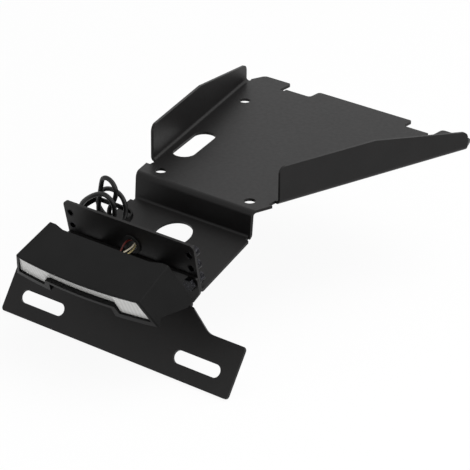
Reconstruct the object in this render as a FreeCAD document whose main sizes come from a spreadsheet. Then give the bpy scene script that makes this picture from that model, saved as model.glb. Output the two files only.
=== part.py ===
import FreeCAD, Part
import math
import os
import Sketcher

# Tail tidy for a motorbike: a folded sheet bracket with two side wings, a
# plate holder below it, a moulded rear light on two feet, and its wiring.
# Millimetres, +Z up, -Y to the rear. The origin is on the tray's top face,
# midway between the two rear mounting holes.

os.makedirs("parts", exist_ok=True)
Vec = FreeCAD.Vector
doc = FreeCAD.newDocument("TailTidy")


class Size:
    """A length or angle together with the expression that gives it."""

    def __init__(self, value, text):
        self.value = float(value)
        self.text = text

    def join(self, other, sign, value):
        return Size(value, "(" + self.text + " " + sign + " " + text(other) + ")")

    def __add__(self, other):
        return self.join(other, "+", self.value + number(other))

    def __sub__(self, other):
        return self.join(other, "-", self.value - number(other))

    def __mul__(self, other):
        return self.join(other, "*", self.value * number(other))

    def __truediv__(self, other):
        return self.join(other, "/", self.value / number(other))

    def __radd__(self, other):
        return Size(other, str(other)) + self

    def __rsub__(self, other):
        return Size(other, str(other)) - self

    def __rmul__(self, other):
        return Size(other, str(other)) * self

    def __neg__(self):
        return Size(-self.value, "(-1 * " + self.text + ")")


def number(item):
    return item.value if isinstance(item, Size) else float(item)


def text(item):
    return item.text if isinstance(item, Size) else str(item)


def sin(angle):
    return Size(math.sin(math.radians(angle.value)), "sin(" + angle.text + ")")


def cos(angle):
    return Size(math.cos(math.radians(angle.value)), "cos(" + angle.text + ")")


def tan(angle):
    return Size(math.tan(math.radians(angle.value)), "tan(" + angle.text + ")")


class Table:
    """The driving sizes, one spreadsheet row and one alias each."""

    def __init__(self, rows):
        self.sheet = doc.addObject("Spreadsheet::Sheet", "Sizes")
        for row, (name, value) in enumerate(rows.items(), 1):
            self.sheet.set("A" + str(row), name)
            self.sheet.set("B" + str(row), str(value))
            self.sheet.setAlias("B" + str(row), name)
            setattr(self, name, Size(value, "Sizes." + name))
        doc.recompute()


SIZES = {
    # folded sheet of the bracket
    "gauge": 2.0,
    "bend_inner": 2.0,
    "tray_rear": 12.5,
    "riser_height": 17.95,
    "riser_lean": 3.47,
    "riser_half": 49.5,
    "relief_half": 48.2,
    "relief_length": 3.2,
    "lower_slope": 15.63,
    "lower_length": 57.4,
    "lower_front_half": 50.8,
    "lower_rear_half": 54.8,
    "strip_lean": 12.69,
    "strip_height": 35.1,
    "strip_top_half": 55.6,
    "strip_corner": 3.5,
    # sides of the tray, from the rear fold to the front edge
    "side_half": 54.2,
    "side_end": 3.6,
    "notch_margin": 0.6,
    "wing_start_half": 53.45,
    "wing_start": 10.4,
    "wing_angle": 15.55,
    "wing_length": 160.0,
    "wing_kink": 78.7,
    "wing_height": 25.1,
    "wing_tip_height": 11.8,
    "wing_corner": 5.0,
    "lug_inset": 1.4,
    "lug_taper": 5.0,
    "lug_length": 12.15,
    "lug_gap": 2.9,
    "lug_corner": 4.0,
    "lug_inner_half": 66.5,
    "lug_dip": 14.0,
    "dip_inner_half": 62.5,
    "front_notch": 11.3,
    "tongue_half": 41.2,
    "tongue_corner": 2.5,
    # holes of the bracket
    "rear_bolt_half": 38.2,
    "front_bolt_half": 72.4,
    "front_bolt_run": 132.7,
    "bolt_hole_radius": 4.0,
    "slot_side": 49.5,
    "slot_run": 48.8,
    "slot_angle": 13.5,
    "slot_half": 15.6,
    "slot_radius": 7.85,
    "cable_hole_run": 20.2,
    "cable_hole_radius": 13.5,
    "lower_hole_half": 45.5,
    "lower_hole_run": 47.0,
    "small_hole_radius": 2.75,
    "strip_hole_edge": 5.1,
    "strip_hole_first": 6.8,
    "strip_hole_pitch": 10.0,
    "wire_hole_rise": 19.5,
    "wire_hole_radius": 5.5,
    # plate holder
    "holder_gauge": 2.0,
    "flange_top": 11.5,
    "flange_drop": 12.1,
    "ear_lap": 0.4,
    "ear_low": 0.5,
    "ear_corner": 8.0,
    "neck_half": 47.0,
    "neck_length": 12.9,
    "neck_foot_half": 67.0,
    "neck_corner": 12.0,
    "holder_angle": 32.9,
    "band_height": 35.05,
    "band_inset": 0.77,
    "band_corner": 2.5,
    "plate_slot_half": 66.6,
    "plate_slot_drop": 20.8,
    "plate_slot_run": 14.9,
    "plate_slot_radius": 4.35,
    # fasteners
    "bolt_radius": 2.5,
    "bolt_head_across": 8.0,
    "bolt_head_height": 3.5,
    "bolt_tail": 1.5,
    "light_bolt_radius": 2.0,
    "light_bolt_across": 7.0,
    "light_bolt_head": 2.8,
    "light_hole_radius": 2.25,
    "light_washer_radius": 4.0,
    "hex_half": 30.0,
    "washer_radius": 4.5,
    "washer_gauge": 1.0,
    "nut_height": 4.0,
    "fit_gap": 0.15,
    "press_nut_bore": 2.1,
    "press_nut_barrel": 3.6,
    "press_nut_length": 5.0,
    "press_nut_depth": 5.0,
    # rear light: place on the strip and outline
    "light_rise": 31.74,
    "light_standoff": 19.17,
    "light_tilt": 23.7,
    "light_top_half": 50.1,
    "light_side_slope": 22.2,
    "light_side_flare": 3.75,
    "light_depth": 36.8,
    "light_bow": 4.6,
    "light_half": 62.0,
    "light_back_drop": 27.5,
    "light_back_foot": 6.5,
    "throat_depth": 27.0,
    "throat_drop": 17.5,
    "lip_depth": 31.0,
    "lip_drop": 20.5,
    "light_corner": 1.6,
    "light_edge": 0.8,
    "back_recess": 2.3,
    "back_recess_half": 37.0,
    "back_recess_slant": 8.0,
    "rim_top": 1.2,
    "rim_side": 3.0,
    "mid_ledge_drop": 11.5,
    "side_ledge_drop": 16.9,
    "step_half": 29.3,
    "step_width": 2.7,
    "lens_setback": 0.8,
    "lens_gauge": 2.2,
    "lens_lean": 11.0,
    "cavity_depth": 16.8,
    "lamp_half": 26.4,
    "lamp_slant": 1.4,
    "lamp_roof_drop": 13.8,
    "lamp_depth": 21.8,
    "window_half": 17.0,
    "window_width": 8.0,
    "window_setback": 5.5,
    "window_gauge": 1.5,
    "foot_half": 24.0,
    "foot_rise": 7.6,
    "foot_width": 12.0,
    "foot_height": 5.8,
    "foot_bite": 3.0,
    "foot_bore_depth": 11.0,
    # inside of the light
    "board_gauge": 1.6,
    "board_margin": 3.0,
    "board_inset": 1.0,
    "reflector_gauge": 4.8,
    "led_pitch": 11.0,
    "led_row_drop": 6.4,
    "cup_radius": 2.4,
    "led_side": 2.4,
    "led_height": 0.8,
    # wiring
    "grommet_lip": 1.3,
    "grommet_lip_gauge": 1.0,
    "grommet_wall": 1.2,
    "gland_radius": 3.8,
    "gland_length": 4.0,
    "gland_drop": 14.0,
    "wire_side": 2.0,
    "wire_radius": 0.55,
    "cable_radius": 1.6,
    "hank_run": 36.0,
    "hank_side": 42.0,
    "hank_half": 18.0,
    "hank_height": 44.0,
    "hank_shoulder": 33.0,
    "hank_left": 20.0,
    "hank_crown": 5.0,
    "hank_thickness": 20.0,
    "hank_corner": 4.0,
    "hank_lift": 0.3,
    "tie_gauge": 1.2,
    "tie_width": 4.0,
    "tie_height": 15.0,
    "plug_side": 4.0,
    "plug_run": 45.0,
    "plug_length": 22.0,
    "plug_width": 12.0,
    "plug_height": 8.0,
    "plug_corner": 1.2,
}
S = Table(SIZES)


def bind(thing, prop, value):
    """Set a property to a size and keep it bound to the sheet."""
    if hasattr(thing, prop):
        setattr(thing, prop, number(value))
    if isinstance(value, Size):
        thing.setExpression(prop, value.text)


def place(thing, base, angle=None, axis=(1, 0, 0), prop="Placement"):
    """Put a body or sketch at a point, turned about one axis."""
    turn = FreeCAD.Rotation(Vec(*axis), 0 if angle is None else number(angle))
    point = Vec(*[number(item) for item in base])
    setattr(thing, prop, FreeCAD.Placement(point, turn))
    for letter, item in zip("xyz", base):
        if isinstance(item, Size):
            thing.setExpression(prop + ".Base." + letter, item.text)
    if isinstance(angle, Size):
        thing.setExpression(prop + ".Rotation.Angle", angle.text)


def origin_item(body, role):
    return [item for item in body.Origin.OriginFeatures if item.Role == role][0]


class Piece:
    """A PartDesign body whose features are bound to the sheet."""

    def __init__(self, name):
        self.body = doc.addObject("PartDesign::Body", name)
        self.body.Label = name

    def sketch(self, name, plane="XY_Plane", base=(0, 0, 0), angle=None, axis=(1, 0, 0)):
        drawing = self.body.newObject("Sketcher::SketchObject", name)
        drawing.AttachmentSupport = [(origin_item(self.body, plane), "")]
        drawing.MapMode = "FlatFace"
        place(drawing, base, angle, axis, "AttachmentOffset")
        return Drawing(drawing)

    def feature(self, kind, name):
        return self.body.newObject("PartDesign::" + kind, name)

    def pad(self, name, drawing, length, both=False, back=False):
        pad = self.feature("Pad", name)
        pad.Profile = drawing.sketch
        pad.SideType = "Symmetric" if both else "One side"
        pad.Reversed = back
        bind(pad, "Length", length)
        doc.recompute()
        return pad

    def pocket(self, name, drawing, length=None, both=False, back=False):
        """Cut to a depth, or right through both ways where none is given."""
        before = self.body.Shape.Volume
        pocket = self.feature("Pocket", name)
        pocket.Profile = drawing.sketch
        pocket.Reversed = back
        if length is None:
            pocket.Type = "ThroughAll"
            pocket.SideType = "Symmetric"
        else:
            pocket.SideType = "Symmetric" if both else "One side"
            bind(pocket, "Length", length)
        doc.recompute()
        if pocket.Shape.Volume > before - 0.01:
            raise RuntimeError(name + " cuts nothing")
        return pocket

    def mirror(self, name, originals):
        mirror = self.feature("Mirrored", name)
        mirror.Originals = originals
        mirror.MirrorPlane = (origin_item(self.body, "YZ_Plane"), [""])
        self.body.Tip = mirror
        doc.recompute()
        return mirror

    def fillet(self, name, radius, points, kind="Fillet"):
        """Round the edges whose middles lie at the given points."""
        base = self.body.Tip
        fillet = self.feature(kind, name)
        fillet.Base = (base, edges_at(base.Shape, points))
        bind(fillet, "Radius" if kind == "Fillet" else "Size", radius)
        doc.recompute()
        return fillet


def edges_at(shape, points):
    middles = [edge.CenterOfMass for edge in shape.Edges]
    found = []
    for point in points:
        spot = Vec(*[number(item) for item in point])
        gaps = [spot.distanceToPoint(middle) for middle in middles]
        if min(gaps) > 2.5:
            raise RuntimeError("no edge near " + str(spot))
        found.append("Edge" + str(gaps.index(min(gaps)) + 1))
    return found


class Drawing:
    """A sketch whose points are held by constraints bound to the sheet."""

    def __init__(self, sketch):
        self.sketch = sketch

    def hold(self, kind, refs, value):
        key = self.sketch.addConstraint(Sketcher.Constraint(kind, *refs, number(value)))
        if isinstance(value, Size):
            self.sketch.setExpression("Constraints[" + str(key) + "]", value.text)

    def hold_point(self, item, spot, point):
        self.hold("DistanceX", (-1, 1, item, spot), point[0])
        self.hold("DistanceY", (-1, 1, item, spot), point[1])

    def join(self, one, spot, two, other):
        self.sketch.addConstraint(Sketcher.Constraint("Coincident", one, spot, two, other))

    def loop(self, points, arcs=None):
        """A closed outline; arcs gives the radius of the arc after a point,
        positive where the centre is to the left."""
        arcs = arcs or {}
        flat = [Vec(number(x), number(y), 0) for x, y in points]
        ends = []
        for i, start in enumerate(flat):
            end = flat[(i + 1) % len(flat)]
            if i not in arcs:
                key = self.sketch.addGeometry(Part.LineSegment(start, end))
                ends.append((key, 1, 2))
                continue
            radius = number(arcs[i])
            half = (end - start) / 2
            side = Vec(-half.y, half.x, 0).normalize()
            reach = math.sqrt(radius * radius - half.Length ** 2)
            centre = start + half + side * (reach if radius > 0 else -reach)
            first, last = (start, end) if radius > 0 else (end, start)
            turns = [math.atan2(p.y - centre.y, p.x - centre.x) for p in (first, last)]
            circle = Part.Circle(centre, Vec(0, 0, 1), abs(radius))
            key = self.sketch.addGeometry(Part.ArcOfCircle(circle, turns[0], turns[1]))
            ends.append((key, 1, 2) if radius > 0 else (key, 2, 1))
        for i, (key, start, end) in enumerate(ends):
            following = ends[(i + 1) % len(ends)]
            self.join(key, end, following[0], following[1])
            self.hold_point(key, start, points[i])
        for i, radius in arcs.items():
            self.hold("Radius", (ends[i][0],), radius if number(radius) > 0 else -radius)
        return self

    def circle(self, x, y, radius):
        circle = Part.Circle(Vec(number(x), number(y), 0), Vec(0, 0, 1), number(radius))
        key = self.sketch.addGeometry(circle)
        self.hold_point(key, 3, (x, y))
        self.hold("Radius", (key,), radius)
        return self

    def stadium(self, x, y, half, radius):
        """A slot with round ends, long along the sketch's first axis."""
        points = [(x - half, y - radius), (x + half, y - radius),
                  (x + half, y + radius), (x - half, y + radius)]
        flat = [Vec(number(a), number(b), 0) for a, b in points]
        low = self.sketch.addGeometry(Part.LineSegment(flat[0], flat[1]))
        high = self.sketch.addGeometry(Part.LineSegment(flat[2], flat[3]))
        quarter = math.pi / 2
        right = Part.Circle(Vec(number(x + half), number(y), 0), Vec(0, 0, 1), number(radius))
        left = Part.Circle(Vec(number(x - half), number(y), 0), Vec(0, 0, 1), number(radius))
        right = self.sketch.addGeometry(Part.ArcOfCircle(right, -quarter, quarter))
        left = self.sketch.addGeometry(Part.ArcOfCircle(left, quarter, 3 * quarter))
        for key, spot, point in ((low, 1, 0), (low, 2, 1), (high, 1, 2), (high, 2, 3)):
            self.hold_point(key, spot, points[point])
        self.join(low, 2, right, 1)
        self.join(right, 2, high, 1)
        self.join(high, 2, left, 1)
        self.join(left, 2, low, 1)
        self.hold("DistanceX", (-1, 1, right, 3), x + half)
        self.hold("DistanceX", (-1, 1, left, 3), x - half)
        return self


def both_sides(half):
    """A right-hand outline from the rear forwards, closed with its mirror image."""
    return half + [(-x, y) for x, y in reversed(half)]


def frame_box(reach_x, low, high):
    """A rectangle about an outline, so that the pocket leaves its inside."""
    return [(-reach_x, low), (reach_x, low), (reach_x, high), (-reach_x, high)]


def mirrored_pair(name, *pieces):
    """Pieces and their mirror images as one node of separate solids."""
    links = []
    for piece in pieces:
        other = doc.addObject("Part::Mirroring", piece.body.Name + "_left")
        other.Source = piece.body
        other.Normal = Vec(1, 0, 0)
        links += [piece.body, other]
    group = doc.addObject("Part::Compound", name)
    group.Links = links
    group.Label = name
    return group


def along_wing(run, out):
    """A plan point at a run along the wing's fold and a distance outside it."""
    x = S.wing_start_half + run * sin(S.wing_angle) + out * cos(S.wing_angle)
    y = S.wing_start + run * cos(S.wing_angle) - out * sin(S.wing_angle)
    return x, y


nodes = []

# Reaches that follow the wings: the lugs and the tray's front edge start where
# the wings end, and the plate holder is nearly as wide as their tips.
wing_tip = along_wing(S.wing_length, S.gauge)[0]
lug_half = along_wing(S.wing_length, 0)[0] - S.lug_inset
lug_rear = S.wing_start + (S.wing_length + S.lug_gap) * cos(S.wing_angle)
tray_front = lug_rear + S.lug_length
band_half = wing_tip - S.band_inset
strip_hole_half = S.strip_top_half - S.strip_hole_edge
ear_half = S.strip_top_half + S.ear_lap

# Points of the bracket's section, on its upper and rear faces.
fold_y = -S.tray_rear
foot_y = fold_y - S.riser_height * tan(S.riser_lean)
foot_z = -S.riser_height
lower_y = -cos(S.lower_slope)
lower_z = -sin(S.lower_slope)
heel_y = foot_y + S.lower_length * lower_y
heel_z = foot_z + S.lower_length * lower_z
up_y = -sin(S.strip_lean)
up_z = cos(S.strip_lean)
crest_y = heel_y + S.strip_height * up_y
crest_z = heel_z + S.strip_height * up_z
# The strip's frame: first axis across, second up its face, third to the rear.
# It starts where the strip's rear face would meet the lower plate's top face.
strip_turn = 90 + S.strip_lean
strip_y = heel_y - S.gauge * cos(S.strip_lean)
strip_z = heel_z - S.gauge * sin(S.strip_lean)

# Main bracket
bracket = Piece("main_bracket")
turn_one = (90 - S.riser_lean) / 2
turn_two = (90 - S.riser_lean - S.lower_slope) / 2
turn_three = (90 - S.strip_lean + S.lower_slope) / 2
miter_one = S.gauge * tan(turn_one)
miter_two = S.gauge * tan(turn_two)
miter_three = S.gauge * tan(turn_three)
inner_fold_y = fold_y + miter_one
outer_foot_y = foot_y + S.gauge * cos(S.riser_lean) - miter_two * sin(S.riser_lean)
outer_foot_z = foot_z - S.gauge * sin(S.riser_lean) - miter_two * cos(S.riser_lean)
outer_heel_y = heel_y + S.gauge * sin(S.lower_slope) - miter_three * cos(S.lower_slope)
outer_heel_z = heel_z - S.gauge * cos(S.lower_slope) - miter_three * sin(S.lower_slope)
section = bracket.sketch("bracket_section", "YZ_Plane").loop([
    (tray_front, 0),
    (fold_y, 0),
    (foot_y, foot_z),
    (heel_y, heel_z),
    (crest_y, crest_z),
    (crest_y - S.gauge * cos(S.strip_lean), crest_z - S.gauge * sin(S.strip_lean)),
    (outer_heel_y, outer_heel_z),
    (outer_foot_y, outer_foot_z),
    (inner_fold_y, -S.gauge),
    (tray_front, -S.gauge),
])
bracket.pad("folded_sheet", section, (wing_tip + S.gauge) * 2, both=True)
bracket.fillet("inner_bends", S.bend_inner, [
    (0, inner_fold_y, -S.gauge),
    (0, foot_y, foot_z),
    (0, heel_y, heel_z),
])
bend_outer = S.bend_inner + S.gauge
bracket.fillet("outer_bends", bend_outer, [
    (0, fold_y, 0),
    (0, outer_foot_y, outer_foot_z),
    (0, outer_heel_y, outer_heel_z),
])


notch_in = -(S.bend_inner + S.notch_margin)
notch_rear = along_wing(0, notch_in)
notch_front = along_wing(S.wing_length + S.lug_gap, notch_in)
relief_rear = foot_y - S.relief_length
plan = [
    (S.strip_top_half, crest_y - S.gauge * 2),
    (S.lower_rear_half, heel_y),
    (S.lower_front_half, relief_rear),
    (S.relief_half, relief_rear),
    (S.relief_half, foot_y),
    (S.riser_half, foot_y),
    (S.riser_half, fold_y),
    (S.side_half, S.side_end),
    (notch_rear[0], S.side_end),
    notch_rear,
    along_wing(0, S.gauge / 2),
    along_wing(S.wing_length, S.gauge / 2),
    along_wing(S.wing_length, notch_in),
    notch_front,
    (lug_half, notch_front[1]),
    (lug_half - S.lug_taper, tray_front + S.gauge),
    (S.lug_inner_half, tray_front + S.gauge),
    (S.lug_inner_half, tray_front - S.lug_dip),
    (S.dip_inner_half, tray_front - S.lug_dip),
    (S.dip_inner_half, tray_front - S.front_notch),
    (S.tongue_half, tray_front - S.front_notch),
    (S.tongue_half, tray_front + S.gauge),
]
trim = bracket.sketch("plan_outline")
trim.loop(both_sides(plan))
trim.loop(frame_box(wing_tip * 2, crest_y * 2, tray_front * 2))
bracket.pocket("plan_trim", trim)
bracket.fillet("strip_corners", S.strip_corner, [
    (side * S.strip_top_half, crest_y - S.gauge / 2, crest_z) for side in (1, -1)
])
wing = bracket.sketch("wing_outline", "YZ_Plane",
                      (S.wing_start, 0, S.wing_start_half), -S.wing_angle, (0, 1, 0))
wing.loop([
    (0, -S.gauge),
    (S.wing_length, -S.gauge),
    (S.wing_length, S.wing_tip_height),
    (S.wing_kink, S.wing_height),
    (0, S.wing_height),
])
wing_pad = bracket.pad("wing", wing, S.gauge)
bracket.mirror("wings", [wing_pad])


def both_at(point, height):
    return [(point[0], point[1], height), (-point[0], point[1], height)]


mid_wing = S.wing_length / 2
bracket.fillet("wing_bend_inner", S.bend_inner, both_at(along_wing(mid_wing, 0), 0))
bracket.fillet("wing_bend_outer", bend_outer, both_at(along_wing(mid_wing, S.gauge), -S.gauge))
bracket.fillet("wing_corners", S.wing_corner, [
    *both_at(along_wing(0, S.gauge / 2), S.wing_height),
    *both_at(along_wing(S.wing_length, S.gauge / 2), S.wing_tip_height),
])
bracket.fillet("lug_corners", S.lug_corner, both_at((lug_half - S.lug_taper, tray_front), -S.gauge / 2))
bracket.fillet("front_corners", S.tongue_corner, [
    *both_at((S.lug_inner_half, tray_front), -S.gauge / 2),
    *both_at((S.tongue_half, tray_front), -S.gauge / 2),
    *both_at((S.tongue_half, tray_front - S.front_notch), -S.gauge / 2),
])
holes = bracket.sketch("tray_holes")
for side in (1, -1):
    holes.circle(side * S.rear_bolt_half, 0, S.bolt_hole_radius)
    holes.circle(side * S.front_bolt_half, S.front_bolt_run, S.bolt_hole_radius)
bracket.pocket("tray_bolt_holes", holes)
slot = bracket.sketch("slot_outline", "XY_Plane", (-S.slot_side, S.slot_run, 0),
                      90 + S.slot_angle, (0, 0, 1))
slot.stadium(0, 0, S.slot_half, S.slot_radius)
bracket.pocket("side_slot", slot)
lower = bracket.sketch("lower_holes", "XY_Plane", (0, foot_y, foot_z), S.lower_slope)
lower.circle(0, -S.cable_hole_run, S.cable_hole_radius)
for side in (1, -1):
    lower.circle(side * S.lower_hole_half, -S.lower_hole_run, S.small_hole_radius)
bracket.pocket("lower_plate_holes", lower, S.gauge * 3, both=True)
strip = bracket.sketch("strip_holes", "XY_Plane", (0, strip_y, strip_z), strip_turn)
strip.circle(S.wire_side, S.wire_hole_rise, S.wire_hole_radius)
for side in (1, -1):
    strip.circle(side * S.foot_half, S.foot_rise, S.light_hole_radius)
    for step in range(3):
        rise = S.strip_hole_first + S.strip_hole_pitch * step
        strip.circle(side * strip_hole_half, rise, S.small_hole_radius)
bracket.pocket("strip_bolt_holes", strip, S.gauge * 3, both=True)
nodes.append(bracket.body)

# Plate holder: a flange on the strip's rear face, a neck and a band
holder = Piece("plate_holder")
place(holder.body, (0, strip_y, strip_z), strip_turn)
# The section is drawn in the strip's frame: second axis up, third to the rear.
hang_turn = S.strip_lean + S.holder_angle
hang_y = -cos(hang_turn)
hang_z = sin(hang_turn)
hang_miter = S.holder_gauge * tan(hang_turn / 2)
neck_y = -S.flange_drop
hang = S.neck_length + S.band_height
hem = (neck_y + hang * hang_y, S.holder_gauge + hang * hang_z)
section = holder.sketch("holder_section", "YZ_Plane").loop([
    (S.flange_top, 0),
    (S.flange_top, S.holder_gauge),
    (neck_y, S.holder_gauge),
    hem,
    (hem[0] - S.holder_gauge * hang_z, hem[1] + S.holder_gauge * hang_y),
    (neck_y - hang_miter, 0),
])
holder.pad("holder_sheet", section, band_half * 2, both=True)
holder.fillet("holder_bend_inner", S.bend_inner, [(0, neck_y, S.holder_gauge)])
holder.fillet("holder_bend_outer", S.bend_inner + S.holder_gauge, [(0, neck_y - hang_miter, 0)])
reach = band_half * 2
flange = holder.sketch("flange_outline")
for side in (1, -1):
    flange.loop([
        (side * ear_half, S.flange_top * 2),
        (side * ear_half, -S.ear_low),
        (side * S.neck_half, neck_y),
        (side * S.neck_half, neck_y - S.holder_gauge),
        (side * reach, neck_y - S.holder_gauge),
        (side * reach, S.flange_top * 2),
    ])
holder.pocket("flange_trim", flange, S.holder_gauge * 3, both=True)
# The band's frame starts at the neck's bend, with its second axis up the band.
band = holder.sketch("neck_outline", "XY_Plane", (0, neck_y, S.holder_gauge), -hang_turn)
for side in (1, -1):
    band.loop([
        (side * S.neck_half, S.holder_gauge),
        (side * S.neck_half, 0),
        (side * S.neck_foot_half, -S.neck_length),
        (side * reach, -S.neck_length),
        (side * reach, S.holder_gauge),
    ])
holder.pocket("neck_trim", band, S.holder_gauge * 3, both=True)
slots = holder.sketch("plate_slots", "XY_Plane", (0, neck_y, S.holder_gauge), -hang_turn)
for side in (1, -1):
    slots.stadium(side * S.plate_slot_half, -(S.neck_length + S.plate_slot_drop),
                  S.plate_slot_run, S.plate_slot_radius)
holder.pocket("plate_slot_cuts", slots, S.holder_gauge * 3, both=True)
bolts = holder.sketch("flange_holes")
for side in (1, -1):
    bolts.circle(side * strip_hole_half, S.strip_hole_first, S.small_hole_radius)
    bolts.circle(side * S.foot_half, S.foot_rise, S.light_hole_radius)
holder.pocket("flange_bolt_holes", bolts, S.holder_gauge * 3, both=True)


def on_band(x, run):
    """The middle of the sheet at a distance below the neck's bend."""
    y = neck_y + run * hang_y - S.holder_gauge / 2 * hang_z
    z = S.holder_gauge + run * hang_z + S.holder_gauge / 2 * hang_y
    return [(x, y, z), (-x, y, z)]


holder.fillet("ear_corners", S.ear_corner, [
    (side * ear_half, -S.ear_low, S.holder_gauge / 2) for side in (1, -1)])
holder.fillet("neck_corners", S.neck_corner, on_band(S.neck_foot_half, S.neck_length))
holder.fillet("band_corners", S.band_corner, [
    *on_band(band_half, S.neck_length), *on_band(band_half, hang),
    *[(side * ear_half, S.flange_top, S.holder_gauge / 2) for side in (1, -1)]])
nodes.append(holder.body)

# Rear light: its frame starts at the middle of the top rear edge, with the
# second axis forward along its top and the third out of its top.
rear_y = -cos(S.strip_lean)
rear_z = -sin(S.strip_lean)
light_y = strip_y + S.light_rise * up_y + S.light_standoff * rear_y
light_z = strip_z + S.light_rise * up_z + S.light_standoff * rear_z
light_base = (0, light_y, light_z)
housing = Piece("light_housing")
place(housing.body, light_base, S.light_tilt)
side_view = housing.sketch("housing_section", "YZ_Plane").loop([
    (0, 0),
    (-S.light_depth, 0),
    (-S.light_depth, -S.lip_drop),
    (-S.lip_depth, -S.lip_drop),
    (-S.throat_depth, -S.throat_drop),
    (-S.light_back_foot, -S.light_back_drop),
    (0, -S.light_back_drop),
])
housing.pad("housing_block", side_view, S.light_half * 2.2, both=True)
side_fall = tan(S.light_side_slope)
facet = housing.sketch("side_facet", "XZ_Plane", (0, 0, 0), S.light_side_flare, (0, 1, 0))
facet.loop([
    (S.light_top_half - S.light_back_drop * side_fall, S.light_back_drop),
    (S.light_half * 2, S.light_back_drop),
    (S.light_half * 2, -S.light_back_drop * 2),
    (S.light_top_half + S.light_back_drop * 2 * side_fall, -S.light_back_drop * 2),
])
facet_cut = housing.pocket("side_facet_cut", facet)
housing.mirror("side_facets", [facet_cut])
bow_radius = (S.light_half * S.light_half + S.light_bow * S.light_bow) / (2 * S.light_bow)
front_y = -S.light_depth
bow = housing.sketch("front_bow").loop([
    (-S.light_half, front_y + S.light_bow),
    (S.light_half, front_y + S.light_bow),
    (S.light_half, front_y * 2),
    (-S.light_half, front_y * 2),
], {0: bow_radius})
housing.pocket("front_bow_cut", bow)
recess = housing.sketch("back_recess_outline").loop([
    (-(S.back_recess_half + S.back_recess_slant), 0),
    (-S.back_recess_half, -S.back_recess),
    (S.back_recess_half, -S.back_recess),
    (S.back_recess_half + S.back_recess_slant, 0),
    (S.back_recess_half + S.back_recess_slant, S.back_recess),
    (-(S.back_recess_half + S.back_recess_slant), S.back_recess),
])
housing.pocket("back_recess_cut", recess)
corner_x = S.light_top_half + S.light_depth * tan(S.light_side_flare)
corner_x = corner_x + S.lip_drop / 2 * side_fall
housing.fillet("corner_rounds", S.light_corner, [
    (side * corner_x, front_y + S.light_bow * 0.8, -(S.lip_drop / 2)) for side in (1, -1)])
rim_x = S.light_top_half + S.light_depth / 2 * tan(S.light_side_flare)
housing.fillet("top_rounds", S.light_edge, [
    (side * rim_x, front_y / 2, 0) for side in (1, -1)])


def face_outline(inset):
    """The lens opening seen from the rear, drawn smaller by an inset."""
    start = S.light_top_half + S.light_depth * tan(S.light_side_flare) - S.rim_side - inset
    low = S.side_ledge_drop - inset
    high = S.rim_top + inset
    half = [
        (start + high * side_fall, -high),
        (start + low * side_fall, -low),
        (S.step_half + S.step_width + inset, -low),
        (S.step_half + inset, -(S.mid_ledge_drop - inset)),
    ]
    return half + [(-x, y) for x, y in reversed(half)]


# The rear-view sketches lie on the plane of the light's rearmost point.
rear_plane = (0, 0, S.light_depth)
opening = housing.sketch("lens_opening", "XZ_Plane", rear_plane).loop(face_outline(0))
housing.pocket("lens_cavity", opening, S.cavity_depth)
lamp = housing.sketch("lamp_notch", "XZ_Plane", rear_plane).loop([
    (S.lamp_half, -S.lamp_roof_drop),
    (S.lamp_half + S.lamp_slant, -S.lip_drop),
    (S.lamp_half + S.lamp_slant, -S.light_back_drop * 2),
    (-(S.lamp_half + S.lamp_slant), -S.light_back_drop * 2),
    (-(S.lamp_half + S.lamp_slant), -S.lip_drop),
    (-S.lamp_half, -S.lamp_roof_drop),
])
housing.pocket("lamp_notch_cut", lamp, S.lamp_depth)
window_rear = -(S.light_depth - S.window_setback)
window_front = window_rear + S.window_width


def window_outline(inset):
    half = S.window_half - inset
    return [(-half, window_rear + inset), (half, window_rear + inset),
            (half, window_front - inset), (-half, window_front - inset)]


window = housing.sketch("window_opening", "XY_Plane", (0, 0, -S.lamp_roof_drop))
window.loop(window_outline(0))
housing.pocket("window_cut", window, S.lamp_roof_drop - S.mid_ledge_drop, back=True)
# The two feet stand square on the holder's flange, so they slant in this frame.
skew = S.light_tilt - S.strip_lean
foot_run = S.foot_rise - S.light_rise
foot_reach = S.light_standoff - S.holder_gauge
foot_base = (0, foot_run * sin(skew) + foot_reach * cos(skew),
             foot_run * cos(skew) - foot_reach * sin(skew))
sole = housing.sketch("foot_outline", "XY_Plane", foot_base, 90 - skew).loop([
    (S.foot_half - S.foot_width / 2, -(S.foot_height / 2)),
    (S.foot_half + S.foot_width / 2, -(S.foot_height / 2)),
    (S.foot_half + S.foot_width / 2, S.foot_height / 2),
    (S.foot_half - S.foot_width / 2, S.foot_height / 2),
])
foot_pad = housing.pad("foot", sole, foot_reach + S.foot_bite)
housing.mirror("feet", [foot_pad])
bores = housing.sketch("foot_bores", "XY_Plane", foot_base, 90 - skew)
for side in (1, -1):
    bores.circle(side * S.foot_half, 0, S.light_bolt_radius + S.fit_gap)
housing.pocket("foot_bore_cuts", bores, S.foot_bore_depth, back=True)
nodes.append(housing.body)

lens = Piece("light_lens")
place(lens.body, light_base, S.light_tilt)
lens_y = front_y + S.lens_setback
crescent = lens.sketch("lens_plan", "XY_Plane", (0, 0, 0), S.lens_lean).loop([
    (-S.light_half, lens_y + S.light_bow),
    (S.light_half, lens_y + S.light_bow),
    (S.light_half, lens_y + S.light_bow + S.lens_gauge),
    (-S.light_half, lens_y + S.light_bow + S.lens_gauge),
], {0: bow_radius, 2: -bow_radius})
lens.pad("lens_band", crescent, S.light_back_drop, back=True)
edge = lens.sketch("lens_outline", "XZ_Plane")
edge.loop(face_outline(S.fit_gap))
edge.loop(frame_box(S.light_half * 2, -S.light_back_drop * 2, S.light_back_drop))
lens.pocket("lens_trim", edge)
nodes.append(lens.body)

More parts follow.
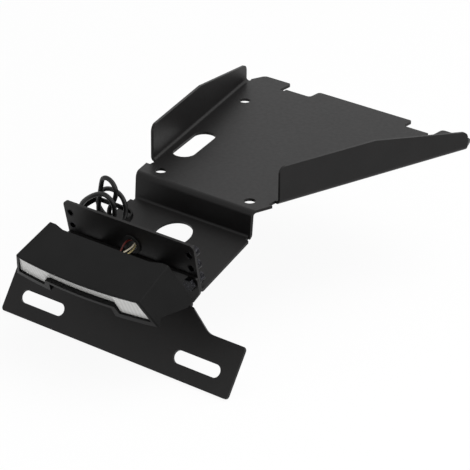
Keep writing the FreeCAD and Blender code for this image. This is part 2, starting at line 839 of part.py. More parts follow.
cavity_floor = S.light_depth - S.cavity_depth
board_front = cavity_floor + S.board_gauge
board = Piece("led_board")
place(board.body, light_base, S.light_tilt)
board_half = 4 * S.led_pitch + S.board_margin
sheet = board.sketch("board_outline", "XZ_Plane", (0, 0, cavity_floor)).loop([
    (-board_half, -(S.mid_ledge_drop - S.board_inset)),
    (board_half, -(S.mid_ledge_drop - S.board_inset)),
    (board_half, -(S.rim_top + S.board_inset)),
    (-board_half, -(S.rim_top + S.board_inset)),
])
board.pad("board_sheet", sheet, S.board_gauge)
nodes.append(board.body)

reflector = Piece("light_reflector")
place(reflector.body, light_base, S.light_tilt)
face = reflector.sketch("reflector_outline", "XZ_Plane", (0, 0, board_front))
face.loop(face_outline(S.fit_gap * 2))
reflector.pad("reflector_bar", face, S.reflector_gauge)
cups = reflector.sketch("reflector_cups", "XZ_Plane", (0, 0, board_front + S.reflector_gauge))
for step in range(-4, 5):
    cups.circle(step * S.led_pitch, -S.led_row_drop, S.cup_radius)
reflector.pocket("reflector_cup_cuts", cups, S.reflector_gauge)
nodes.append(reflector.body)

leds = doc.addObject("Part::Compound", "leds")
leds.Label = "leds"
boxes = []
for step in range(-4, 5):
    led = doc.addObject("Part::Box", "led_" + str(step + 5))
    bind(led, "Length", S.led_side)
    bind(led, "Width", S.led_height)
    bind(led, "Height", S.led_side)
    place(led, (step * S.led_pitch - S.led_side / 2, -(board_front + S.led_height),
                -(S.led_row_drop + S.led_side / 2)))
    boxes.append(led)
leds.Links = boxes
place(leds, light_base, S.light_tilt)
nodes.append(leds)

window_piece = Piece("plate_lamp_window")
place(window_piece.body, light_base, S.light_tilt)
glass = window_piece.sketch("window_pane", "XY_Plane", (0, 0, -S.lamp_roof_drop))
glass.loop(window_outline(S.fit_gap))
window_piece.pad("window_sheet", glass, S.window_gauge)
nodes.append(window_piece.body)


# Fasteners, drawn in the strip's frame; the left one mirrors the right one.
def strip_piece(name):
    piece = Piece(name + "_right")
    place(piece.body, (0, strip_y, strip_z), strip_turn)
    return piece


def hexagon(drawing, x, y, across):
    """A hexagon with two sides level."""
    side = across / 2 / cos(S.hex_half)
    points = [(x + side, y), (x + side / 2, y + across / 2), (x - side / 2, y + across / 2),
              (x - side, y), (x - side / 2, y - across / 2), (x + side / 2, y - across / 2)]
    return drawing.loop(points)


def bolt(name, x, y, seat, tip, shape):
    """A hexagon bolt: shape gives its radius, the head's width and its height.
    It points to the front where its tip lies below its seat."""
    piece = strip_piece(name)
    radius, across, height = shape
    forward = number(tip) < number(seat)
    head = piece.sketch(name + "_head", "XY_Plane", (0, 0, seat))
    hexagon(head, x, y, across)
    piece.pad(name + "_head_pad", head, height, back=not forward)
    shank = piece.sketch(name + "_shank", "XY_Plane", (0, 0, seat)).circle(x, y, radius)
    piece.pad(name + "_shank_pad", shank, seat - tip if forward else tip - seat, back=forward)
    nodes.append(mirrored_pair(name, piece))


def ring(name, x, y, base, height, outer, bore, hexagonal=False):
    """A washer or nut with a clearance bore, standing rearwards from its base."""
    piece = strip_piece(name)
    body = piece.sketch(name + "_outline", "XY_Plane", (0, 0, base))
    if hexagonal:
        hexagon(body, x, y, outer)
    else:
        body.circle(x, y, outer)
    body.circle(x, y, bore + S.fit_gap)
    piece.pad(name + "_pad", body, height)
    nodes.append(mirrored_pair(name, piece))


strip_front = -S.gauge
washer_front = strip_front - S.washer_gauge
nut_front = washer_front - S.nut_height
hole_x = strip_hole_half
hole_rise = S.strip_hole_first
bolt("holder_bolts", hole_x, hole_rise, S.holder_gauge, nut_front - S.bolt_tail,
     (S.bolt_radius, S.bolt_head_across, S.bolt_head_height))
ring("holder_washers", hole_x, hole_rise, washer_front, S.washer_gauge,
     S.washer_radius, S.bolt_radius)
ring("holder_nuts", hole_x, hole_rise, nut_front, S.nut_height,
     S.bolt_head_across, S.bolt_radius, True)
bolt("light_bolts", S.foot_half, S.foot_rise, washer_front,
     S.holder_gauge + S.foot_bore_depth - S.bolt_tail,
     (S.light_bolt_radius, S.light_bolt_across, S.light_bolt_head))
ring("light_washers", S.foot_half, S.foot_rise, washer_front, S.washer_gauge,
     S.light_washer_radius, S.light_bolt_radius)

# Blind nuts pressed into the strip's upper holes: a shank in the sheet, a barrel
# with a closed end in front of it
press_nuts = []
for step in (1, 2):
    title = "press_nut_" + str(step)
    nut = strip_piece(title)
    rise = S.strip_hole_first + S.strip_hole_pitch * step
    shank = nut.sketch(title + "_shank").circle(hole_x, rise, S.small_hole_radius - S.fit_gap)
    nut.pad(title + "_shank_pad", shank, S.gauge, back=True)
    barrel = nut.sketch(title + "_barrel", "XY_Plane", (0, 0, strip_front))
    barrel.circle(hole_x, rise, S.press_nut_barrel)
    nut.pad(title + "_barrel_pad", barrel, S.press_nut_length, back=True)
    bore = nut.sketch(title + "_bore").circle(hole_x, rise, S.press_nut_bore)
    nut.pocket(title + "_bore_cut", bore, S.press_nut_depth)
    press_nuts.append(nut)
nodes.append(mirrored_pair("press_nuts", *press_nuts))

# Cable grommet in the strip, with a lip on each face
grommet = Piece("cable_grommet")
place(grommet.body, (0, strip_y, strip_z), strip_turn)
grommet_outer = S.wire_hole_radius - S.fit_gap
grommet_bore = grommet_outer - S.grommet_wall
grommet_lip = S.wire_hole_radius + S.grommet_lip
lip_rear = S.grommet_lip_gauge
lip_front = -(S.gauge + S.grommet_lip_gauge)
ring_section = grommet.sketch("grommet_section", "YZ_Plane",
                              (0, 0, S.wire_side)).loop([
    (S.wire_hole_rise + grommet_bore, lip_rear),
    (S.wire_hole_rise + grommet_bore, lip_front),
    (S.wire_hole_rise + grommet_lip, lip_front),
    (S.wire_hole_rise + grommet_lip, strip_front),
    (S.wire_hole_rise + grommet_outer, strip_front),
    (S.wire_hole_rise + grommet_outer, 0),
    (S.wire_hole_rise + grommet_lip, 0),
    (S.wire_hole_rise + grommet_lip, lip_rear),
])
axis_line = ring_section.sketch.addGeometry(Part.LineSegment(
    Vec(S.wire_hole_rise.value, lip_front.value, 0),
    Vec(S.wire_hole_rise.value, lip_rear.value, 0)), True)
ring_section.hold_point(axis_line, 1, (S.wire_hole_rise, lip_front))
ring_section.hold_point(axis_line, 2, (S.wire_hole_rise, lip_rear))
turned = grommet.feature("Revolution", "grommet_ring")
turned.Profile = ring_section.sketch
turned.ReferenceAxis = (ring_section.sketch, ["Axis0"])
turned.Angle = 360
doc.recompute()
nodes.append(grommet.body)

# Wire gland on the back of the light
gland = Piece("wire_gland")
place(gland.body, light_base, S.light_tilt)
gland_seat = (0, 0, S.back_recess)
base = gland.sketch("gland_base", "XZ_Plane", gland_seat)
base.circle(S.wire_side, -S.gland_drop, S.gland_radius)
gland.pad("gland_flange", base, S.gland_length / 2, back=True)
nose = gland.sketch("gland_nose", "XZ_Plane", gland_seat)
nose.circle(S.wire_side, -S.gland_drop, S.gland_radius * 0.75)
gland.pad("gland_nose_pad", nose, S.gland_length, back=True)
nodes.append(gland.body)


def route(points):
    """Straight runs joined by arcs as large as the two runs allow."""
    marks = [Vec(*point) for point in points]
    edges = []
    start = marks[0]
    bends = []
    for before, here, after in zip(marks, marks[1:], marks[2:]):
        one = (here - before).normalize()
        two = (after - here).normalize()
        turn = one.getAngle(two)
        cut = 0.45 * min(before.distanceToPoint(here), here.distanceToPoint(after))
        bends.append(round(cut / math.tan(turn / 2), 1))
        middle = (two - one).normalize() * (cut / math.tan(turn / 2) / math.cos(turn / 2))
        centre = here + middle
        crown = centre - middle * (math.cos(turn / 2))
        edges.append(Part.LineSegment(start, here - one * cut).toShape())
        edges.append(Part.Arc(here - one * cut, crown, here + two * cut).toShape())
        start = here + two * cut
    edges.append(Part.LineSegment(start, marks[-1]).toShape())
    print("bend radii", bends)
    return Part.Wire(edges)


def cord(name, points, radius):
    """A round cord along a route, with flat ends."""
    path = route(points)
    first = Vec(*points[1]) - Vec(*points[0])
    ring = Part.Wire(Part.Circle(Vec(*points[0]), first, radius.value).toShape())
    solid = path.makePipeShell([ring], True, True)
    node = doc.addObject("Part::Feature", name)
    node.Label = name
    node.Shape = solid
    print(name, "length", round(path.Length, 1),
          "volume ratio", round(solid.Volume / (math.pi * radius.value ** 2 * path.Length), 4))
    nodes.append(node)


cord("wire_red", [
    (1.3, -89.31, -18.48), (1.1, -85.6, -16.2), (0.5, -82.0, -13.0),
    (0.4, -78.5, -11.7), (0.9, -75.0, -12.5), (1.38, -71.3, -13.35),
], S.wire_radius)
cord("wire_white", [
    (2.7, -89.31, -18.48), (3.0, -85.8, -16.9), (3.7, -82.2, -16.3),
    (4.3, -78.8, -15.3), (3.9, -75.3, -14.2), (2.62, -71.24, -13.32),
], S.wire_radius)
cord("wire_brown", [
    (1.3, -88.75, -19.76), (1.4, -85.2, -18.4), (2.2, -81.8, -17.8),
    (2.7, -78.4, -16.6), (2.2, -74.9, -15.7), (1.38, -70.97, -14.53),
], S.wire_radius)
cord("wire_yellow", [
    (2.7, -88.75, -19.76), (3.6, -85.2, -18.7), (4.5, -81.6, -18.3),
    (4.7, -78.2, -17.3), (4.1, -75.2, -16.2), (2.62, -70.97, -14.53),
], S.wire_radius)
cord("light_cable", [
    (2, -70.81, -13.86), (2, -61.6, -12.4), (-1, -53.8, -17.6),
    (-10.5, -49.9, -20.3), (-23.8, -49.8, -20.4),
], S.cable_radius)

# The cable's free length stands as a hank on the lower plate, in that plate's
# frame: second axis forward along the plate and third out of its top face.
def lower_piece(name):
    piece = Piece(name)
    place(piece.body, (0, foot_y, foot_z), S.lower_slope)
    return piece


hank = lower_piece("cable_hank")
hank_low = S.hank_lift
outline = hank.sketch("hank_outline", "XZ_Plane", (0, 0, S.hank_run)).loop([
    (-(S.hank_side + S.hank_half), hank_low),
    (-(S.hank_side - S.hank_half), hank_low),
    (-(S.hank_side - S.hank_half), S.hank_shoulder),
    (-(S.hank_side - S.hank_crown), S.hank_height),
    (-(S.hank_side + S.hank_crown), S.hank_height),
    (-(S.hank_side + S.hank_half), S.hank_left),
])
hank.pad("hank_block", outline, S.hank_thickness, both=True)
hank.fillet("hank_corners", S.hank_corner, [
    (-(S.hank_side - S.hank_half), -S.hank_run, S.hank_shoulder),
    (-(S.hank_side - S.hank_crown), -S.hank_run, S.hank_height),
    (-(S.hank_side + S.hank_crown), -S.hank_run, S.hank_height),
    (-(S.hank_side + S.hank_half), -S.hank_run, S.hank_left),
])
nodes.append(hank.body)

tie = lower_piece("cable_tie")
band_base = (0, 0, S.tie_height)
around = tie.sketch("tie_outline", "XY_Plane", band_base)
for gap in (S.tie_gauge, 0):
    left = -(S.hank_side + S.hank_half + gap)
    right = -(S.hank_side - S.hank_half - gap)
    near = -(S.hank_run + S.hank_thickness / 2 + gap)
    far = -(S.hank_run - S.hank_thickness / 2 - gap)
    around.loop([(left, near), (right, near), (right, far), (left, far)])
tie.pad("tie_band", around, S.tie_width, back=True)
nodes.append(tie.body)

plug = lower_piece("connector_plug")
plug_left = -(S.plug_side + S.plug_length / 2)
plug_right = -(S.plug_side - S.plug_length / 2)
plug_near = -(S.plug_run + S.plug_width / 2)
plug_far = -(S.plug_run - S.plug_width / 2)
shell = plug.sketch("plug_outline", "XY_Plane", (0, 0, S.hank_lift)).loop([
    (plug_left, plug_near), (plug_right, plug_near),
    (plug_right, plug_far), (plug_left, plug_far),
])
plug.pad("plug_shell", shell, S.plug_height)
middle_height = S.hank_lift + S.plug_height / 2
plug.fillet("plug_corners", S.plug_corner, [
    (x, y, middle_height) for x in (plug_left, plug_right) for y in (plug_near, plug_far)])
nodes.append(plug.body)

lead = lower_piece("connector_lead")
lead_run = (S.hank_run + S.hank_thickness / 2 + S.plug_run - S.plug_width / 2) / 2
lead_end = lead.sketch("lead_section", "YZ_Plane", (0, 0, -(S.hank_side - S.hank_half)))
lead_end.circle(-lead_run, middle_height, S.cable_radius)
lead_length = S.hank_side - S.hank_half + plug_left
lead.pad("lead_run", lead_end, lead_length)
nodes.append(lead.body)

doc.recompute()
for item in doc.Objects:
    if "Invalid" in item.State or "Error" in item.State:
        raise RuntimeError(item.Name + " failed: " + str(item.State))
for node in nodes:
    if node.Shape.isNull() or not node.Shape.isValid():
        raise RuntimeError(node.Label + " has no valid shape")
for node in nodes:
    node.Shape.exportStep("parts/" + node.Label + ".step")
    box = node.Shape.BoundBox
    print(node.Label, len(node.Shape.Solids), round(node.Shape.Volume, 1),
          [round(v, 1) for v in (box.XMin, box.YMin, box.ZMin, box.XMax, box.YMax, box.ZMax)])
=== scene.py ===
import math
import bmesh
import bpy
from mathutils import Matrix, Vector


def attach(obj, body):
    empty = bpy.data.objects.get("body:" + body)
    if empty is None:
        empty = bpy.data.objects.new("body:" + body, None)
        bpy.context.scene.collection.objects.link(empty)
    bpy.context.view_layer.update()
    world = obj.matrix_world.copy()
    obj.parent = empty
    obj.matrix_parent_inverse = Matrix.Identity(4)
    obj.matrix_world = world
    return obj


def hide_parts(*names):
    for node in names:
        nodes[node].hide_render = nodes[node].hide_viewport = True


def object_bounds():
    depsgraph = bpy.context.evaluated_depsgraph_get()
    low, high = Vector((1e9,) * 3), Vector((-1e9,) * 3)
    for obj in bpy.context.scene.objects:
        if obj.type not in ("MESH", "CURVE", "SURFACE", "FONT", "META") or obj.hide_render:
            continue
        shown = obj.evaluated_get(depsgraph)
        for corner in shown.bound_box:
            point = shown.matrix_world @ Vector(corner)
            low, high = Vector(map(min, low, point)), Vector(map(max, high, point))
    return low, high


# Tail tidy for a motorbike, in metres: a folded bracket and plate holder in
# black powder coat, a moulded rear light with a ribbed lens, and its wiring.

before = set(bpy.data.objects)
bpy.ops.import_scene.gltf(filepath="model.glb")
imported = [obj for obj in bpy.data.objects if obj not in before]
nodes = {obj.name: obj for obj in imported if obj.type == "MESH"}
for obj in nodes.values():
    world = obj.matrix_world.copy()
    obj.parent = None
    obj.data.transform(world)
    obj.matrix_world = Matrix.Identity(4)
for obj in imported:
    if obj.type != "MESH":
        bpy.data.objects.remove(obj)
cad_low, cad_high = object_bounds()
MM = 0.001
# Degrees: an edge sharper than this stays an edge when a surface is shaded smooth
SHARP_EDGE = 40
# The lens's ribs, in millimetres
RIB_PITCH, RIB_RADIUS = 3, 0.6


def colour(code):
    """An sRGB hex value as linear light."""
    parts = [int(code[i:i + 2], 16) / 255 for i in (1, 3, 5)]
    light = [c / 12.92 if c <= 0.04045 else ((c + 0.055) / 1.055) ** 2.4 for c in parts]
    return (*light, 1.0)


def add(tree, kind, inputs=None, **settings):
    """One node with its settings, its values and its links."""
    node = tree.nodes.new(kind)
    for name, value in settings.items():
        setattr(node, name, value)
    for key, value in (inputs or {}).items():
        if isinstance(value, bpy.types.NodeSocket):
            tree.links.new(value, node.inputs[key])
        else:
            node.inputs[key].default_value = value
    return node


def new_finish(name, **values):
    """An empty material with one Principled shader and the object's own place."""
    material = bpy.data.materials.new(name)
    material.use_nodes = True
    tree = material.node_tree
    tree.nodes.clear()
    surface = add(tree, "ShaderNodeBsdfPrincipled", {
        key.replace("_", " ").title().replace("Ior", "IOR"): value
        for key, value in values.items()})
    add(tree, "ShaderNodeOutputMaterial", {"Surface": surface.outputs["BSDF"]})
    place = add(tree, "ShaderNodeTexCoord").outputs["Object"]
    return material, tree, surface, place


def speckle(tree, place, size, detail=2.0, roughness=0.5):
    """Noise whose grains are about that many millimetres across."""
    return add(tree, "ShaderNodeTexNoise", {
        "Vector": place, "Scale": 1 / (size * MM), "Detail": detail,
        "Roughness": roughness}).outputs["Fac"]


def spread(tree, factor, low, high, start=0.35, end=0.65):
    """A factor mapped between two values."""
    return add(tree, "ShaderNodeMapRange", {
        "Value": factor, "From Min": start, "From Max": end,
        "To Min": low, "To Max": high}).outputs["Result"]


def tint(tree, factor, one, two):
    """A colour between two hex colours."""
    mix = add(tree, "ShaderNodeMix", data_type="RGBA")
    tree.links.new(factor, mix.inputs["Factor"])
    mix.inputs["A"].default_value = colour(one)
    mix.inputs["B"].default_value = colour(two)
    return mix.outputs["Result"]


def raise_surface(tree, surface, height, depth, strength):
    """A bump of that many millimetres, at a share of its full strength."""
    bump = add(tree, "ShaderNodeBump", {
        "Height": height, "Distance": depth * MM, "Strength": strength})
    tree.links.new(bump.outputs["Normal"], surface.inputs["Normal"])


def powder_coat():
    """Polyester powder coat, baked on steel: a smooth satin black whose sheen
    spreads wide and whose shade drifts a little. The grain is drawn 0.9 mm
    across, about three times the real one, so that it is not lost."""
    material, tree, surface, place = new_finish(
        "powder_coated_steel", ior=1.5, specular_ior_level=0.2)
    grain = speckle(tree, place, 0.9, 3.0, 0.6)
    peel = speckle(tree, place, 3.0)
    patch = speckle(tree, place, 26.0)
    shade = add(tree, "ShaderNodeMath", {0: grain, 1: patch}, operation="MULTIPLY")
    tree.links.new(tint(tree, spread(tree, shade.outputs[0], 0, 1, 0.15, 0.4),
                        "#0e0d0d", "#151414"), surface.inputs["Base Color"])
    tree.links.new(spread(tree, peel, 0.42, 0.46), surface.inputs["Roughness"])
    height = add(tree, "ShaderNodeMath", {0: grain, 1: peel}, operation="ADD")
    raise_surface(tree, surface, height.outputs[0], 0.006, 0.5)
    return material


def moulding():
    """ABS, moulded in a lightly etched tool: black, a soft sheen, no seams."""
    material, tree, surface, place = new_finish(
        "moulded_abs", ior=1.54, specular_ior_level=0.09)
    etch = speckle(tree, place, 0.7, 2.0)
    flow = speckle(tree, place, 30.0)
    tree.links.new(tint(tree, spread(tree, flow, 0, 1), "#0c0c0c", "#121212"),
                   surface.inputs["Base Color"])
    tree.links.new(spread(tree, etch, 0.34, 0.44), surface.inputs["Roughness"])
    raise_surface(tree, surface, etch, 0.02, 0.6)
    return material


def clear_lens():
    """Polycarbonate, moulded with ribs inside: pale grey with a soft gloss, and
    hardly see-through. The pale grey is partly the ribs' scatter and partly
    painted light from the bright reflector behind, and its bands are painted
    rib shading."""
    material, tree, surface, place = new_finish(
        "moulded_polycarbonate", ior=1.585, roughness=0.3, transmission_weight=0.1)
    haze = speckle(tree, place, 7.0)
    # A wave texture's period is pi / (10 * scale).
    ribs = add(tree, "ShaderNodeTexWave", {
        "Vector": place, "Scale": math.pi / (10 * RIB_PITCH * MM),
        "Distortion": 0.4}).outputs["Fac"]
    # Painted light: the pale grey stands in partly for the bright reflector behind the lens, and
    # the lighter and darker bands at the rib pitch are painted rib shading.
    tree.links.new(tint(tree, spread(tree, ribs, 0, 1, 0.1, 0.9), "#cfcfcd", "#dcdcda"),
                   surface.inputs["Base Color"])
    raise_surface(tree, surface, haze, 0.04, 0.4)
    return material


def reflector_coat():
    """Vacuum-coated plastic: bright and a little wavy."""
    material, tree, surface, place = new_finish(
        "vacuum_coated_abs", base_color=colour("#dededd"), metallic=1.0)
    wave = speckle(tree, place, 2.2)
    tree.links.new(spread(tree, wave, 0.16, 0.3), surface.inputs["Roughness"])
    raise_surface(tree, surface, wave, 0.06, 0.6)
    return material


def board_mask():
    """Solder mask on glass fibre: dark green with the weave just showing."""
    material, tree, surface, place = new_finish(
        "solder_masked_glass_fibre", ior=1.5, roughness=0.4)
    weave = add(tree, "ShaderNodeTexChecker", {
        "Vector": place, "Scale": 1 / (0.8 * MM)}).outputs["Fac"]
    tree.links.new(tint(tree, weave, "#1c4b2e", "#21553a"), surface.inputs["Base Color"])
    raise_surface(tree, surface, weave, 0.02, 0.4)
    return material


def phosphor():
    """White LED: a pale yellow phosphor under clear silicone."""
    material, tree, surface, place = new_finish(
        "phosphor_led", ior=1.41, roughness=0.15, coat_weight=0.6, coat_roughness=0.05)
    dots = speckle(tree, place, 0.5)
    tree.links.new(tint(tree, spread(tree, dots, 0, 1), "#f3eec8", "#efe6b0"),
                   surface.inputs["Base Color"])
    return material


def zinc_steel():
    """Steel with black zinc: dark grey, satin, thin bright scuffs."""
    material, tree, surface, place = new_finish("black_zinc_plated_steel", metallic=1.0)
    scuff = speckle(tree, place, 1.2, 4.0, 0.7)
    tree.links.new(tint(tree, spread(tree, scuff, 0, 1, 0.5, 0.75), "#1b1b1d", "#4c4c50"),
                   surface.inputs["Base Color"])
    tree.links.new(spread(tree, scuff, 0.28, 0.42), surface.inputs["Roughness"])
    raise_surface(tree, surface, scuff, 0.02, 0.5)
    return material


def soft_rubber(name, dark, light, rough):
    """Moulded rubber or PVC: matt, with a faint bloom."""
    material, tree, surface, place = new_finish(name, ior=1.52, specular_ior_level=0.22)
    bloom = speckle(tree, place, 1.4, 3.0)
    tree.links.new(tint(tree, spread(tree, bloom, 0, 1), dark, light),
                   surface.inputs["Base Color"])
    tree.links.new(spread(tree, bloom, rough, rough + 0.1), surface.inputs["Roughness"])
    raise_surface(tree, surface, bloom, 0.03, 0.6)
    return material


FINISHES = {
    "black_powder_coat": powder_coat(),
    "black_moulding": moulding(),
    "clear_lens": clear_lens(),
    "bright_reflector": reflector_coat(),
    "led_board_green": board_mask(),
    "led_white": phosphor(),
    "black_zinc_steel": zinc_steel(),
    "black_rubber": soft_rubber("moulded_rubber", "#0c0c0c", "#141414", 0.55),
    "black_cable": soft_rubber("extruded_pvc_black", "#111111", "#1a1a1a", 0.36),
    # The red wire's dark maroon is painted shade: its red is darkened to the shade that it lies in.
    "red_wire": soft_rubber("extruded_pvc_red", "#4a110d", "#611812", 0.35),
    "white_wire": soft_rubber("extruded_pvc_white", "#d9d0b8", "#e8dfc8", 0.35),
    "brown_wire": soft_rubber("extruded_pvc_brown", "#40241a", "#523022", 0.35),
    "yellow_wire": soft_rubber("extruded_pvc_yellow", "#b9a878", "#cdbd8c", 0.35),
}
NODE_FINISH = {
    "main_bracket": "black_powder_coat",
    "plate_holder": "black_powder_coat",
    "light_housing": "black_moulding",
    "light_lens": "clear_lens",
    "plate_lamp_window": "clear_lens",
    "light_reflector": "bright_reflector",
    "led_board": "led_board_green",
    "leds": "led_white",
    "holder_bolts": "black_zinc_steel",
    "holder_washers": "black_zinc_steel",
    "holder_nuts": "black_zinc_steel",
    "light_bolts": "black_zinc_steel",
    "press_nuts": "black_zinc_steel",
    "light_washers": "black_zinc_steel",
    "cable_grommet": "black_rubber",
    "wire_gland": "black_rubber",
    "cable_tie": "black_moulding",
    "connector_plug": "black_moulding",
    "wire_red": "red_wire",
    "wire_white": "white_wire",
    "wire_brown": "brown_wire",
    "wire_yellow": "yellow_wire",
    "light_cable": "black_cable",
    "cable_hank": "black_cable",
    "connector_lead": "black_cable",
}
for name, finish in NODE_FINISH.items():
    nodes[name].data.materials.clear()
    nodes[name].data.materials.append(FINISHES[finish])


def finished(piece, finish, *stands_for):
    """Puts a piece on the body, in its finish, in place of CAD nodes."""
    piece.data.materials.clear()
    piece.data.materials.append(FINISHES[finish])
    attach(piece, "root")
    if stands_for:
        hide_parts(*stands_for)
    return piece


def linked(name, data):
    """A new object in the scene."""
    piece = bpy.data.objects.new(name, data)
    bpy.context.scene.collection.objects.link(piece)
    return piece


def plain_mesh(draft):
    """A draft's modifiers worked out into a plain mesh; the draft goes."""
    graph = bpy.context.evaluated_depsgraph_get()
    mesh = bpy.data.meshes.new_from_object(draft.evaluated_get(graph))
    bpy.data.objects.remove(draft)
    return mesh


# Corner rounding: what counts as one point (mm), as flat and as a corner (degrees)
SAME_POINT, FLAT_WITHIN, CORNER_FROM = 0.002, 0.5, 35


def softened(node, width):
    """A rigid node's copy with its sharp corners rounded, in the node's place."""
    shape = bmesh.new()
    shape.from_mesh(nodes[node].data)
    bmesh.ops.remove_doubles(shape, verts=shape.verts, dist=SAME_POINT * MM)
    bmesh.ops.dissolve_limit(shape, angle_limit=math.radians(FLAT_WITHIN),
                             verts=shape.verts, edges=shape.edges)
    mesh = bpy.data.meshes.new(node + "_copy")
    shape.to_mesh(mesh)
    shape.free()
    mesh.shade_smooth()
    draft = linked(node + "_copy", mesh)
    corners = draft.modifiers.new("corners", "BEVEL")
    corners.limit_method = "ANGLE"
    corners.angle_limit = math.radians(CORNER_FROM)
    corners.width = width * MM
    corners.segments = 3
    # Area-weighted normals keep a large flat face flat beside a bend.
    flat = draft.modifiers.new("flat_faces", "WEIGHTED_NORMAL")
    flat.mode = "FACE_AREA"
    flat.weight = 100
    finished(linked(node + "_softened", plain_mesh(draft)), NODE_FINISH[node], node)


# Rounding of each rigid piece's corners, in millimetres
CORNERS = {
    "main_bracket": 0.35, "plate_holder": 0.35, "light_housing": 0.3,
    "holder_bolts": 0.45, "holder_nuts": 0.4, "light_bolts": 0.4,
    "holder_washers": 0.15, "light_washers": 0.15, "press_nuts": 0.2,
    "wire_gland": 0.4, "cable_grommet": 0.3, "connector_plug": 0.4,
}
for node, width in CORNERS.items():
    softened(node, width)


# The light's own frame and the lower plate's, as matrices in metres
LIGHT = (Matrix.Translation(Vector((0, -96.491, -7.101)) * MM)
         @ Matrix.Rotation(math.radians(23.7), 4, "X"))
LOWER = (Matrix.Translation(Vector((0, -13.588, -17.95)) * MM)
         @ Matrix.Rotation(math.radians(15.63), 4, "X"))


def lower_plate(x, run, rise):
    """A point by its run down the lower plate and its height over the plate."""
    return tuple((LOWER @ (Vector((x, -run, rise)) * MM)) / MM)


# The lens, in millimetres and degrees: it follows the housing's bow, and it is
# deeper and leans less at its two ends than along its middle.
LENS_TOP, LENS_MIDDLE, LENS_LOW = -1.35, -11.35, -16.75
LENS_STEP, LENS_END = 29.15, 31.85
LENS_FACE, LENS_GAUGE = -36.2, 2.2
LENS_LEAN, LENS_END_LEAN = 15.0, 4.0
LENS_HALF, LENS_SPLAY = 49.36, 22.2
LEAN_BLEND = 3
BOW, BOW_HALF = 4.6, 62.0


def lens_end(z):
    """Half the lens's width at a height."""
    return LENS_HALF - z * math.tan(math.radians(LENS_SPLAY))


def lens_lean(x):
    """The tangent of the lens's lean at a place across it."""
    share = min(max((abs(x) - LENS_STEP + LEAN_BLEND) / (2 * LEAN_BLEND), 0), 1)
    share = share * share * (3 - 2 * share)
    return math.tan(math.radians(LENS_LEAN + (LENS_END_LEAN - LENS_LEAN) * share))


def lens_column(share):
    """A column's place along the lens's top edge, and the height of its foot."""
    reach = abs(share) * lens_end(LENS_TOP)
    if reach <= LENS_STEP:
        low = LENS_MIDDLE
    elif reach <= LENS_END:
        low = LENS_MIDDLE + (LENS_LOW - LENS_MIDDLE) * (reach - LENS_STEP) / (LENS_END - LENS_STEP)
    else:
        low = LENS_LOW
    return math.copysign(reach, share), low


def lens_mesh():
    """A closed shell: an outer and an inner face joined round their rim."""
    columns, rows = 96, 8
    shape = bmesh.new()
    grid = {}
    for side in (0, 1):
        for i in range(columns + 1):
            start, low = lens_column(i / columns * 2 - 1)
            for j in range(rows + 1):
                z = LENS_TOP + (low - LENS_TOP) * j / rows
                past = max(abs(start) - LENS_END, 0) / (lens_end(LENS_TOP) - LENS_END)
                x = math.copysign(abs(start) + past * (lens_end(z) - lens_end(LENS_TOP)), start)
                y = (LENS_FACE + BOW * (x / BOW_HALF) ** 2 + side * LENS_GAUGE
                     - z * lens_lean(x))
                grid[side, i, j] = shape.verts.new(LIGHT @ (Vector((x, y, z)) * MM))
    quads = []
    for side in (0, 1):
        for i in range(columns):
            for j in range(rows):
                quads.append([(side, i, j), (side, i + 1, j),
                              (side, i + 1, j + 1), (side, i, j + 1)])
    for i in range(columns):
        for j in (0, rows):
            quads.append([(0, i, j), (0, i + 1, j), (1, i + 1, j), (1, i, j)])
    for j in range(rows):
        for i in (0, columns):
            quads.append([(0, i, j), (0, i, j + 1), (1, i, j + 1), (1, i, j)])
    for quad in quads:
        shape.faces.new([grid[corner] for corner in quad])
    bmesh.ops.recalc_face_normals(shape, faces=shape.faces)
    mesh = bpy.data.meshes.new("lens")
    shape.to_mesh(mesh)
    shape.free()
    mesh.shade_smooth()
    mesh.set_sharp_from_angle(angle=math.radians(SHARP_EDGE))
    return mesh


finished(linked("lens_shell", lens_mesh()), "clear_lens", "light_lens")


def new_tree(name, **sizes):
    """A geometry tree with named inputs, and the inputs' sockets."""
    tree = bpy.data.node_groups.new(name, "GeometryNodeTree")
    tree.interface.new_socket("Geometry", in_out="OUTPUT", socket_type="NodeSocketGeometry")
    tree.interface.new_socket("Geometry", in_out="INPUT", socket_type="NodeSocketGeometry")
    for label, kind in sizes.items():
        tree.interface.new_socket(label, in_out="INPUT", socket_type="NodeSocket" + kind)
    tree.interface.new_socket("Finish", in_out="INPUT", socket_type="NodeSocketMaterial")
    return tree, tree.nodes.new("NodeGroupInput").outputs


def close_tree(tree, shape, finish):
    """Ends a tree: real geometry, its material, and the output."""
    real = add(tree, "GeometryNodeRealizeInstances", {"Geometry": shape})
    dressed = add(tree, "GeometryNodeSetMaterial", {
        "Geometry": real.outputs["Geometry"], "Material": finish})
    add(tree, "NodeGroupOutput", {"Geometry": dressed.outputs["Geometry"]})


def grown(name, tree, finish, place, *stands_for, base=None, **sizes):
    """The mesh that a tree makes, put in its place as a finished piece."""
    draft = linked(name + "_draft", base or bpy.data.meshes.new(name + "_draft"))
    rule = draft.modifiers.new("rule", "NODES")
    rule.node_group = tree
    values = {**sizes, "Finish": FINISHES[finish]}
    for item in tree.interface.items_tree:
        if item.in_out == "INPUT" and item.name in values:
            rule[item.identifier] = values[item.name]
    mesh = plain_mesh(draft)
    mesh.transform(place)
    mesh.shade_smooth()
    mesh.set_sharp_from_angle(angle=math.radians(SHARP_EDGE))
    return finished(linked(name, mesh), finish, *stands_for)


def point_row(tree, size):
    """Points in a row along X, from the tree's First, Pitch and Count."""
    first = add(tree, "ShaderNodeCombineXYZ", {"X": size["First"]})
    pitch = add(tree, "ShaderNodeCombineXYZ", {"X": size["Pitch"]})
    return add(tree, "GeometryNodeMeshLine", {
        "Count": size["Count"], "Start Location": first.outputs[0],
        "Offset": pitch.outputs[0]}).outputs[0]


